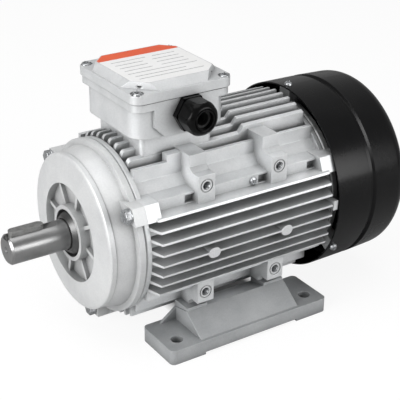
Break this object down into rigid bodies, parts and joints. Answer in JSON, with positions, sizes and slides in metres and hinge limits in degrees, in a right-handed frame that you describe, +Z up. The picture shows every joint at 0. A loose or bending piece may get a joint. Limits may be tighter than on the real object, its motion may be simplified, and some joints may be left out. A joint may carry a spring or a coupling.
{
  "type": "three-phase induction motor",
  "caption": "Foot-mounted, fan-cooled induction motor with a finned housing, top terminal box, cable gland and keyed shaft.",
  "frame": {"origin": "centre of the four foot holes, on the floor under the feet", "axes": "+Z up, +X along the shaft from the drive end to the fan cowl, cable gland on the -Y side"},
  "size_m": [0.3305, 0.168, 0.213],
  "materials": {
    "cast_aluminium": "pale satin as-cast aluminium",
    "foot_aluminium": "slightly darker satin cast aluminium",
    "cowl_paint": "black satin powder coat on sheet steel",
    "shaft_steel": "turned and ground steel",
    "key_steel": "dark drawn key steel",
    "zinc_steel": "bright zinc plate",
    "black_nylon": "black moulded nylon",
    "fan_plastic": "dark moulded plastic",
    "seal_rubber": "black nitrile rubber",
    "gasket_rubber": "dark sponge gasket",
    "core_steel": "blued lamination steel",
    "winding_copper": "varnished and laced copper wire",
    "cage_aluminium": "die-cast pure aluminium",
    "bearing_steel": "ground bearing steel",
    "brass": "bright turned brass",
    "board_plastic": "dark moulded phenolic",
    "spring_steel": "blued spring steel"
  },
  "bodies": {
    "motor_body": {"housing": "cast_aluminium", "drive_end_shield": "cast_aluminium", "fan_end_shield": "cast_aluminium", "terminal_box": "cast_aluminium", "terminal_box_lid": "cast_aluminium", "foot_gland_side": "foot_aluminium", "foot_far_side": "foot_aluminium", "fan_cowl": "cowl_paint", "drive_shield_bolts": "zinc_steel", "fan_shield_bolts": "zinc_steel", "foot_bolts": "zinc_steel", "cowl_screws": "zinc_steel", "lid_screws": "zinc_steel", "box_screws": "zinc_steel", "earth_screw": "zinc_steel", "gland_body": "black_nylon", "gland_cap_nut": "black_nylon", "gland_locknut": "black_nylon", "gland_seal": "seal_rubber", "box_gasket": "gasket_rubber", "lid_gasket": "gasket_rubber", "drive_shaft_seal": "seal_rubber", "fan_shaft_seal": "seal_rubber", "stator_core": "core_steel", "winding_drive_end": "winding_copper", "winding_fan_end": "winding_copper", "preload_spring": "spring_steel", "terminal_board": "board_plastic", "terminal_studs": "brass", "terminal_links": "brass", "drive_bearing_outer_ring": "bearing_steel", "fan_bearing_outer_ring": "bearing_steel"},
    "rotor": {"shaft": "shaft_steel", "shaft_key": "key_steel", "rotor_core": "core_steel", "rotor_cage": "cage_aluminium", "cooling_fan": "fan_plastic", "fan_circlip": "spring_steel", "drive_bearing_inner_ring": "bearing_steel", "fan_bearing_inner_ring": "bearing_steel", "shaft_v_ring": "seal_rubber"},
    "drive_ball_train": {"drive_bearing_balls": "bearing_steel", "drive_bearing_cage": "spring_steel"},
    "fan_ball_train": {"fan_bearing_balls": "bearing_steel", "fan_bearing_cage": "spring_steel"}
  },
  "joints": [
    {"name": "shaft_spin", "type": "hinge", "parent": "motor_body", "child": "rotor", "pos_m": [0, 0, 0.09], "axis": [1, 0, 0], "continuous": true},
    {"name": "drive_ball_spin", "type": "hinge", "parent": "motor_body", "child": "drive_ball_train", "pos_m": [-0.1001, 0, 0.09], "axis": [1, 0, 0], "continuous": true},
    {"name": "fan_ball_spin", "type": "hinge", "parent": "motor_body", "child": "fan_ball_train", "pos_m": [0.1005, 0, 0.09], "axis": [1, 0, 0], "continuous": true}
  ],
  "couplings": [
    {"joint": "drive_ball_spin", "follows": "shaft_spin", "ratio": 0.3974},
    {"joint": "fan_ball_spin", "follows": "shaft_spin", "ratio": 0.3974}
  ]
}
